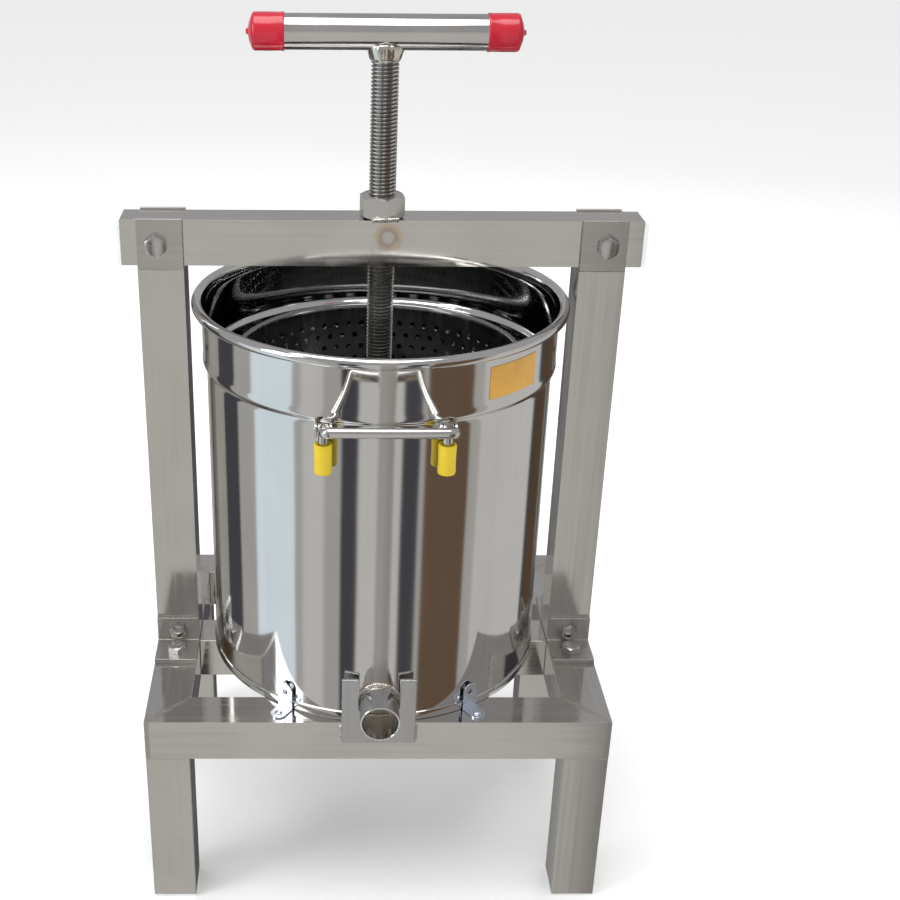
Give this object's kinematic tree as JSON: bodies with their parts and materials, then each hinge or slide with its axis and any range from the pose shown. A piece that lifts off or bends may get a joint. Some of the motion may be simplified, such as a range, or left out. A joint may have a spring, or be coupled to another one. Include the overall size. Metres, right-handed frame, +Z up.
{
  "type": "honeycomb screw press",
  "caption": "Hand screw press for honeycomb and wax: a stainless barrel with a perforated basket in a bolted tube frame, and a screw that drives a round plate.",
  "frame": {"origin": "on the ground, under the axis of the screw, at the middle of the base", "axes": "+Z up along the screw, -Y towards the outlet pipe at the front, +X to the right seen from the front"},
  "size_m": [0.433, 0.4168, 0.7485],
  "materials": {
    "tube_steel": "bright polished stainless tube with fine draw lines",
    "plate_steel": "satin rolled stainless plate",
    "bolt_steel": "turned and forged stainless, satin",
    "zinc": "bright zinc plate with a bluish cast",
    "mirror_steel": "mirror-polished stainless sheet",
    "rod_steel": "bright drawn stainless rod",
    "basket_steel": "semi-bright perforated stainless sheet",
    "press_steel": "satin stainless plate",
    "screw_steel": "machined bright stainless",
    "red_vinyl": "glossy dip-moulded red vinyl",
    "yellow_vinyl": "yellow vinyl sleeve, soft sheen",
    "white_plastic": "moulded translucent white polyethylene",
    "label_film": "plain amber film label"
  },
  "bodies": {
    "frame": {"front_rail": "tube_steel", "rear_rail": "tube_steel", "left_rail": "tube_steel", "right_rail": "tube_steel", "cross_rail": "tube_steel", "front_left_leg": "tube_steel", "front_right_leg": "tube_steel", "rear_left_leg": "tube_steel", "rear_right_leg": "tube_steel", "leg_plugs": "white_plastic", "left_upright": "tube_steel", "right_upright": "tube_steel", "left_front_bracket": "plate_steel", "right_front_bracket": "plate_steel", "left_rear_bracket": "plate_steel", "right_rear_bracket": "plate_steel", "bracket_bolts": "bolt_steel", "bracket_nuts": "bolt_steel", "foot_bolts": "bolt_steel", "rail_nuts": "bolt_steel", "left_fork": "plate_steel", "right_fork": "plate_steel", "crossbeam": "tube_steel", "beam_end_caps": "white_plastic", "beam_bolts": "bolt_steel", "beam_nuts": "bolt_steel", "screw_nut": "bolt_steel", "outlet_saddle": "plate_steel", "left_clip": "zinc", "right_clip": "zinc", "clip_rivets": "zinc"},
    "barrel": {"barrel_wall": "mirror_steel", "barrel_floor": "mirror_steel", "outlet_pipe": "mirror_steel", "barrel_label": "label_film", "front_ears": "rod_steel", "rear_ears": "rod_steel", "front_handle_pins": "zinc", "rear_handle_pins": "zinc"},
    "front_bail": {"front_handle": "rod_steel", "front_sleeves": "yellow_vinyl"},
    "rear_bail": {"rear_handle": "rod_steel", "rear_sleeves": "yellow_vinyl"},
    "basket": {"basket_shell": "basket_steel", "basket_feet": "basket_steel"},
    "plate": {"press_plate": "press_steel", "plate_ribs": "press_steel", "plate_hub": "press_steel"},
    "spindle": {"screw": "screw_steel", "handle_bar": "screw_steel", "bar_weld": "screw_steel", "left_cap": "red_vinyl", "right_cap": "red_vinyl", "retaining_washer": "bolt_steel", "retaining_bolt": "bolt_steel"}
  },
  "joints": [
    {"name": "screw_turn", "type": "hinge", "parent": "plate", "child": "spindle", "pos_m": [0, 0, 0.734], "axis": [0, 0, 1], "range_deg": [-12000, 18000]},
    {"name": "plate_travel", "type": "slide", "parent": "frame", "child": "plate", "axis": [0, 0, 1], "range_m": [-0.1001, 0.1501]},
    {"name": "barrel_lift", "type": "slide", "parent": "frame", "child": "barrel", "axis": [0, 0, 1], "range_m": [0, 0.022]},
    {"name": "basket_lift", "type": "slide", "parent": "barrel", "child": "basket", "axis": [0, 0, 1], "range_m": [0, 0.012]},
    {"name": "front_handle_swing", "type": "hinge", "parent": "barrel", "child": "front_bail", "pos_m": [0, -0.148, 0.464], "axis": [-1, 0, 0], "range_deg": [0, 50]},
    {"name": "rear_handle_swing", "type": "hinge", "parent": "barrel", "child": "rear_bail", "pos_m": [0, 0.148, 0.464], "axis": [1, 0, 0], "range_deg": [0, 50]}
  ],
  "couplings": [
    {"joint": "plate_travel", "follows": "screw_turn", "m_per_rad": 0.00047746}
  ]
}
